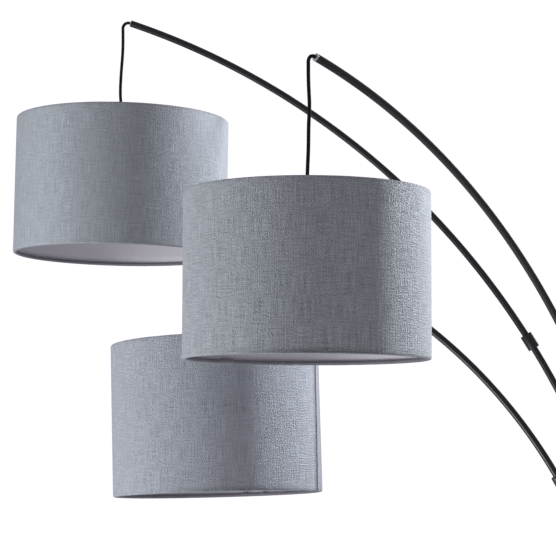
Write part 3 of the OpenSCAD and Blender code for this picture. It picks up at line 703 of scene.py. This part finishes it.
# Arms: the bent tubes, their thrust rings and the collars over their joints
ARC_STEP, FOOT_POINTS = 0.25, 6
TUBE_SIDES, RING_TURNS, COLLAR_TURNS = 48, 64, 96
RING_ROUND, COLLAR_ROUND = (0, 0.6, 1.2, 0), (0.3, 1.1, 1.1, 0.3)
arm_pieces = []
for i in SHADES:
    outer, inner = ARM_D / 2 * MM, (ARM_D / 2 - ARM_WALL) * MM
    joint = JOINT_ANGLE[i]
    foot = [arm_point(i, 0, z) for z in np.linspace(SPIGOT_Z, HUB_TOP + ARM_RISE[i], FOOT_POINTS)[:-1]]
    for part, start, first, last in (("lower", foot, 0, joint), ("upper", [], joint, ARM_SWEEP[i])):
        count = math.ceil((last - first) / ARC_STEP)
        path = start + [arc_point(i, first + (last - first) * k / count) for k in range(count + 1)]
        arm = pipe(f"arm_tube_{part}_{i + 1}", path, outer, inner, TUBE_SIDES, BLACK)
        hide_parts(f"arm_{part}_{i + 1}")
        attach(arm, ARM_BODY[i])
        arm_pieces.append(arm)
    r, r2, low = ARM_D / 2, THRUST_D / 2, BUSH_TOP + FACE_GAP
    corners = [(r, low), (r2, low), (r2, low + THRUST_H), (r, low + THRUST_H)]
    ring = revolve(f"arm_thrust_ring_{i + 1}", rounded(corners, RING_ROUND), RING_TURNS,
                   Matrix.Translation(arm_point(i, 0, 0)), BLACK)
    at_joint = (Matrix.Translation(arc_point(i, joint))
                @ Matrix.Rotation(math.radians(ARM_AZIMUTH[i]), 4, "Z")
                @ Matrix.Rotation(math.radians(joint), 4, "Y"))
    r, r2, half = ARM_D / 2 + SNUG, COLLAR_D / 2, COLLAR_H / 2
    corners = [(r, -half), (r2, -half), (r2, half), (r, half)]
    collar = revolve(f"arm_joint_collar_{i + 1}", rounded(corners, COLLAR_ROUND), COLLAR_TURNS,
                     at_joint, GLOSS)
    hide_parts(f"arm_collar_{i + 1}")
    for ob, slot in ((ring, "black_paint"), (collar, "black_gloss")):
        ob.data.set_sharp_from_angle(angle=math.radians(SHARP))
        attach(ob, ARM_BODY[i])
        arm_pieces.append(ob)


# Lights, floor and world

def area_light(name, place, aim, size, power, colour):
    """A soft box of the given width and height in metres that the camera doesn't see."""
    data = bpy.data.lights.new(name, "AREA")
    data.energy = power
    data.color = colour
    data.shape = "RECTANGLE"
    data.size, data.size_y = size
    ob = bpy.data.objects.new(name, data)
    ob.location = place
    ob.rotation_mode = "QUATERNION"
    ob.rotation_quaternion = (Vector(aim) - Vector(place)).to_track_quat("-Z", "Y")
    ob.visible_camera = False
    scene.collection.objects.link(ob)
    return ob


def light_group(name, state):
    """A collection of the arms' pieces that a light's linking includes or excludes."""
    group = bpy.data.collections.new(name)
    for ob in arm_pieces:
        group.objects.link(ob)
    for member in group.collection_objects:
        member.light_linking.link_state = state
    return group


AIM, STRIP_AIM = (-0.55, -0.15, 1.45), (-1.25, -0.1, 1.5)
area_light("key_left", (-2.2, -0.38, 1.3), AIM, (0.6, 2.0), 20.6, (0.97, 1.0, 1.0))
rim = area_light("rim_right", (1.05, 0.46, 1.95), AIM, (0.36, 0.8), 40, (0.95, 0.97, 1.0))
area_light("low_front", (-1.4, -0.75, 0.6), AIM, (1.5, 0.35), 4.5, (1.0, 0.98, 1.0))
area_light("edge_back", (2.4, 3.6, 3.0), AIM, (1.6, 1.6), 25, (1.0, 1.0, 1.0))
strip = area_light("strip_low", (-1.25, -0.66, 0.2), STRIP_AIM, (0.9, 0.2), 13, (0.97, 0.97, 1.0))
# The strong right light would eat the thin arms' edges. The low strip only draws a line along them.
rim.light_linking.receiver_collection = light_group("arms_left_out", "EXCLUDE")
arms_alone = light_group("arms_alone", "INCLUDE")
strip.light_linking.receiver_collection = arms_alone
strip.light_linking.blocker_collection = arms_alone
scene.view_settings.view_transform = "Standard"

# The world's strength as a light, and what the camera sees of it on top
WORLD_LIGHT, WORLD_SEEN = 0.38, 0.68
world = bpy.data.worlds.new("world")
scene.world = world
world.use_nodes = True
world_tree = world.node_tree
background = world_tree.nodes["Background"]
background.inputs["Color"].default_value = (1.0, 0.955, 1.01, 1)
seen = node(world_tree, "ShaderNodeLightPath").outputs["Is Camera Ray"]
world_tree.links.new(maths(world_tree, "MULTIPLY_ADD", seen, WORLD_SEEN, WORLD_LIGHT),
                     background.inputs["Strength"])

# Half the floor's side
F = 3
floor_material = material("floor_pale", (0.82, 0.82, 0.82), 0.6)[0]
floor = piece("floor", [(-F, -F, 0), (F, -F, 0), (F, F, 0), (-F, F, 0)], [(0, 1, 2, 3)],
              floor_material, smooth=False)

# Every other CAD node is dressed by a copy of its mesh with smooth curved faces and crisp edges
FINISH = {
    "base_pad": FELT, "base_weight": IRON, "base_cover": BLACK, "base_stud": STEEL,
    "base_nut": STEEL, "cable_gland": HOLDER, "pole_lower": BLACK, "pole_joint": BLACK,
    "pole_upper": BLACK, "pole_cable": CORD, "hub_bowl": BLACK, "hub_head": BLACK,
    "hub_bushes": NYLON, "hub_screws": STEEL, "hub_terminal": TERMINAL, "arm_sleeve": STEEL,
    "arm_grommet": CLEAR, "arm_wire": CORD, "cord_grip": HOLDER, "lamp_holder": HOLDER,
    "shade_ring": HOLDER, "shade_frame": FRAME_WIRE, "bulb": GLASS,
}
EDGE_ANGLE, WELD = 32, 1e-6
record = frame["record"]
NODE_BODY = {n: body for body, names in record["behaviour"]["bodies"].items() for n in names}
for name, source in frame["nodes"].items():
    family = name if name in FINISH else name.rsplit("_", 1)[0]
    if family not in FINISH:
        continue
    mesh = source.data.copy()
    bm = bmesh.new()
    bm.from_mesh(mesh)
    bmesh.ops.remove_doubles(bm, verts=bm.verts, dist=WELD)
    bm.to_mesh(mesh)
    bm.free()
    mesh.polygons.foreach_set("use_smooth", [True] * len(mesh.polygons))
    mesh.set_sharp_from_angle(angle=math.radians(EDGE_ANGLE))
    mesh.materials.clear()
    mesh.materials.append(FINISH[family])
    mesh.update()
    ob = bpy.data.objects.new(f"{name}_finish", mesh)
    scene.collection.objects.link(ob)
    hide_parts(name)
    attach(ob, NODE_BODY[name])

bpy.context.view_layer.update()
